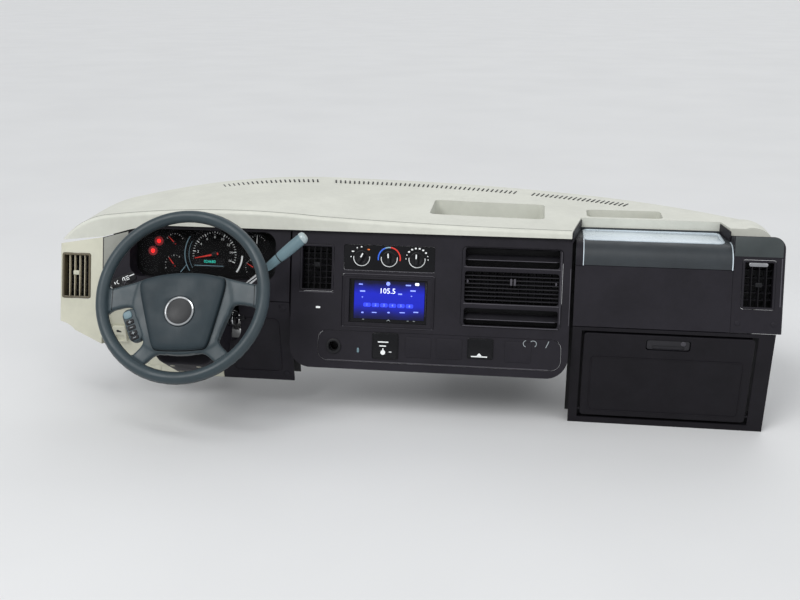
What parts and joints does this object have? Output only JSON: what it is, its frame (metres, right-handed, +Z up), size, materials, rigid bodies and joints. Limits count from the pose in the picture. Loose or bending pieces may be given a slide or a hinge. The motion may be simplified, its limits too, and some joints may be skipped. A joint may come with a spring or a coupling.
{
  "type": "motorhome cab dashboard with steering wheel",
  "caption": "Dashboard of a motorhome cab with gauges, centre stack, vents, trays, glove box, steel cross beam, tilting column and steering wheel.",
  "frame": {"origin": "middle of the two cowl bolts, on the mounting face of the cowl bracket", "axes": "+X to the passenger's side, +Y forward to the windshield, +Z up"},
  "size_m": [1.64, 0.7127, 0.4854],
  "materials": {
    "pad": "fine leather-like grain, matt",
    "beige_trim": "fine grain",
    "dark_trim": "fine grain",
    "vent_dark": "satin",
    "vent_tan": "satin",
    "gauge_black": "matt",
    "lens": "clear",
    "radio_black": "satin black",
    "screen": "lit blue display",
    "knob": "soft touch",
    "chrome": "bright",
    "wheel_rim": "soft grained",
    "wheel_pad": "grained, soft",
    "badge": "brushed, bare",
    "lever_grey": "satin",
    "painted_steel": "black coat",
    "bare_steel": "machined",
    "cast_aluminium": "cast",
    "duct_black": "moulded"
  },
  "bodies": {
    "dash": {"top_pad": "pad", "demister_duct": "duct_black", "cluster_bezel": "dark_trim", "gauge_unit": "gauge_black", "gauge_lens": "lens", "light_switches": "knob", "stack_panel": "dark_trim", "climate_panel": "radio_black", "climate_knobs": "knob", "radio_frame": "dark_trim", "radio_unit": "radio_black", "radio_screen": "screen", "left_vent": "vent_tan", "stack_vent": "vent_dark", "right_vent": "vent_dark", "stack_right_vents": "vent_dark", "accessory_strip": "dark_trim", "power_socket": "knob", "left_end_housing": "beige_trim", "right_end_housing": "dark_trim", "passenger_shelf": "dark_trim", "passenger_panel": "dark_trim", "knee_bolster": "beige_trim", "column_panel": "dark_trim", "release_handle": "beige_trim", "glove_frame": "dark_trim", "glove_bin": "duct_black", "cross_beam": "painted_steel", "cowl_bracket": "painted_steel", "panel_carrier": "duct_black", "climate_case": "duct_black", "air_ducts": "duct_black", "column_tube": "painted_steel"},
    "tilt_head": {"tilt_housing": "cast_aluminium", "column_shroud": "dark_trim", "turn_stalk": "lever_grey", "shift_lever": "lever_grey", "ignition_lock": "chrome"},
    "wheel": {"wheel_frame": "wheel_rim", "hub_pad": "wheel_pad", "badge_plate": "badge", "switch_pod": "lever_grey", "upper_shaft": "bare_steel"},
    "lower_shaft": {"lower_shaft": "bare_steel"},
    "glove_door": {"glove_door": "dark_trim", "glove_latch": "dark_trim"}
  },
  "joints": [
    {"name": "column_tilt", "type": "hinge", "parent": "dash", "child": "tilt_head", "pos_m": [-0.468, -0.45883, -0.18209], "axis": [1, 0, 0], "range_deg": [-12, 10]},
    {"name": "wheel_turn", "type": "hinge", "parent": "tilt_head", "child": "wheel", "pos_m": [-0.468, -0.603, -0.092], "axis": [0, -0.848, 0.5299], "range_deg": [-540, 540]},
    {"name": "shaft_turn", "type": "hinge", "parent": "dash", "child": "lower_shaft", "pos_m": [-0.468, -0.34859, -0.25098], "axis": [0, -0.848, 0.5299], "range_deg": [-540, 540]},
    {"name": "glove_box_hinge", "type": "hinge", "parent": "dash", "child": "glove_door", "pos_m": [0.585, -0.43768, -0.37544], "axis": [1, 0, 0], "range_deg": [0, 70]}
  ],
  "couplings": [
    {"joint": "shaft_turn", "follows": "wheel_turn", "ratio": 1}
  ]
}
